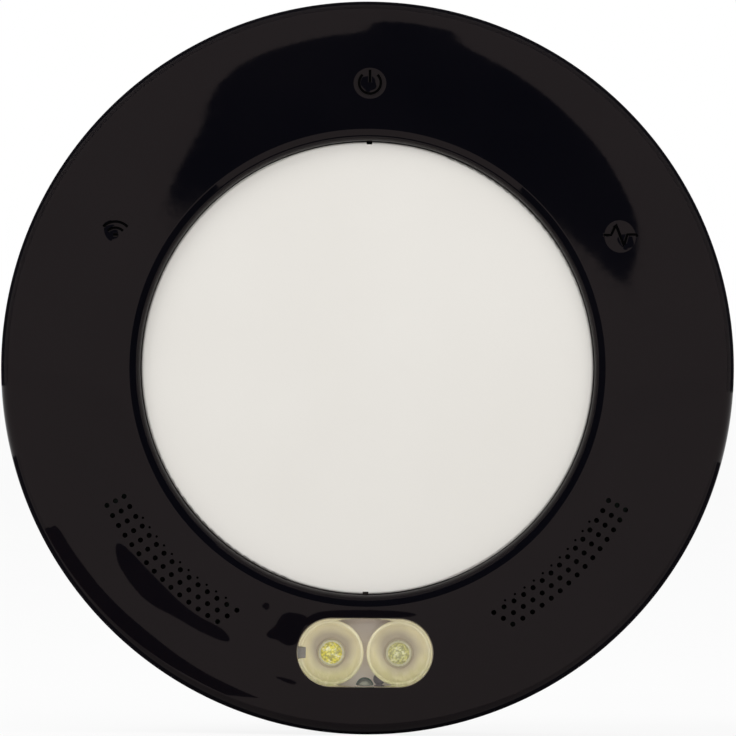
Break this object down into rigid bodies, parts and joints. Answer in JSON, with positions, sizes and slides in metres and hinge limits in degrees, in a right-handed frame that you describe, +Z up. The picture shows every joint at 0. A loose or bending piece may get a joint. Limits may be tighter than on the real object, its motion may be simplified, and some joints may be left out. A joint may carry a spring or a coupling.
{
  "type": "garage door controller",
  "caption": "Round wall-mounted garage door controller: glossy black ring, white centre disc, warning lamp window, speaker grilles, rear terminals and keyholes.",
  "frame": {"origin": "centre of the rear housing's flat back, on the wall plane", "axes": "+Y into the wall, the face looks along -Y; +Z up; +X to the right as the face is seen"},
  "size_m": [0.155, 0.0382, 0.155],
  "materials": {
    "gloss_black": "high gloss",
    "satin_white": "satin",
    "clear_lens": "clear",
    "tray_grey": "matte",
    "frosted_cup": "frosted",
    "lamp_phosphor": "clear dome over yellow phosphor",
    "board_green": "solder mask",
    "steel": "plain",
    "pin_brass": "plated",
    "header_black": "matte",
    "foam_black": "foam",
    "speaker_black": "matte",
    "surround_rubber": "matte",
    "cone_paper": "pressed",
    "magnet_steel": "plated",
    "clear_pipe": "clear",
    "led_white": "gloss",
    "chip_black": "matte",
    "shield_tin": "tin plated",
    "relay_blue": "matte",
    "capacitor_sleeve": "sleeved",
    "ferrite": "matte",
    "inlet_black": "matte",
    "terminal_green": "matte",
    "button_orange": "matte",
    "housing_black": "fine spark texture"
  },
  "bodies": {
    "housing": {"activity_light_pipe": "clear_pipe", "board_screws": "steel", "centre_cover": "satin_white", "clamp_springs": "steel", "door_relay_1": "relay_blue", "door_relay_2": "relay_blue", "door_relay_3": "relay_blue", "front_bezel": "gloss_black", "housing_screws": "steel", "indicator_leds": "led_white", "input_capacitors": "capacitor_sleeve", "lamp_board": "board_green", "lamp_board_screws": "steel", "lamp_header_body": "header_black", "lamp_header_pins": "pin_brass", "lamp_lens": "clear_lens", "lamp_tray": "tray_grey", "left_lamp_led": "lamp_phosphor", "left_lamp_reflector": "frosted_cup", "left_speaker_contacts": "pin_brass", "left_speaker_frame": "speaker_black", "left_speaker_gasket": "foam_black", "left_speaker_magnet": "magnet_steel", "left_speaker_strap": "steel", "left_speaker_surround": "surround_rubber", "main_board": "board_green", "network_light_pipe": "clear_pipe", "power_inductor": "ferrite", "power_inlet_body": "inlet_black", "power_inlet_pin": "pin_brass", "power_inlet_spring": "pin_brass", "power_light_pipe": "clear_pipe", "processor": "chip_black", "rear_housing": "housing_black", "reset_switch": "header_black", "right_lamp_led": "lamp_phosphor", "right_lamp_reflector": "frosted_cup", "right_speaker_contacts": "pin_brass", "right_speaker_frame": "speaker_black", "right_speaker_gasket": "foam_black", "right_speaker_magnet": "magnet_steel", "right_speaker_strap": "steel", "right_speaker_surround": "surround_rubber", "speaker_strap_screws": "steel", "terminal_body": "terminal_green", "terminal_contacts": "pin_brass", "wireless_board": "board_green", "wireless_shield": "shield_tin"},
    "reset_button": {"reset_button": "header_black", "reset_plunger": "header_black"},
    "release_button_1": {"release_button_1": "button_orange"},
    "release_button_2": {"release_button_2": "button_orange"},
    "release_button_3": {"release_button_3": "button_orange"},
    "release_button_4": {"release_button_4": "button_orange"},
    "release_button_5": {"release_button_5": "button_orange"},
    "release_button_6": {"release_button_6": "button_orange"},
    "left_speaker_cone": {"left_speaker_cone": "cone_paper"},
    "right_speaker_cone": {"right_speaker_cone": "cone_paper"}
  },
  "joints": [
    {"name": "release_button_1_press", "type": "slide", "parent": "housing", "child": "release_button_1", "axis": [0, 0, 1], "range_m": [0, 0.0015], "stiffness_N_per_m": 3000, "springref_m": -0.0005},
    {"name": "release_button_2_press", "type": "slide", "parent": "housing", "child": "release_button_2", "axis": [0, 0, 1], "range_m": [0, 0.0015], "stiffness_N_per_m": 3000, "springref_m": -0.0005},
    {"name": "release_button_3_press", "type": "slide", "parent": "housing", "child": "release_button_3", "axis": [0, 0, 1], "range_m": [0, 0.0015], "stiffness_N_per_m": 3000, "springref_m": -0.0005},
    {"name": "release_button_4_press", "type": "slide", "parent": "housing", "child": "release_button_4", "axis": [0, 0, 1], "range_m": [0, 0.0015], "stiffness_N_per_m": 3000, "springref_m": -0.0005},
    {"name": "release_button_5_press", "type": "slide", "parent": "housing", "child": "release_button_5", "axis": [0, 0, 1], "range_m": [0, 0.0015], "stiffness_N_per_m": 3000, "springref_m": -0.0005},
    {"name": "release_button_6_press", "type": "slide", "parent": "housing", "child": "release_button_6", "axis": [0, 0, 1], "range_m": [0, 0.0015], "stiffness_N_per_m": 3000, "springref_m": -0.0005},
    {"name": "reset_button_press", "type": "slide", "parent": "housing", "child": "reset_button", "axis": [0, 0, 1], "range_m": [0, 0.0005], "stiffness_N_per_m": 4000, "springref_m": -0.0002},
    {"name": "left_cone_travel", "type": "slide", "parent": "housing", "child": "left_speaker_cone", "axis": [0, -1, 0], "range_m": [-0.0004, 0.0004], "stiffness_N_per_m": 1500},
    {"name": "right_cone_travel", "type": "slide", "parent": "housing", "child": "right_speaker_cone", "axis": [0, -1, 0], "range_m": [-0.0004, 0.0004], "stiffness_N_per_m": 1500}
  ]
}
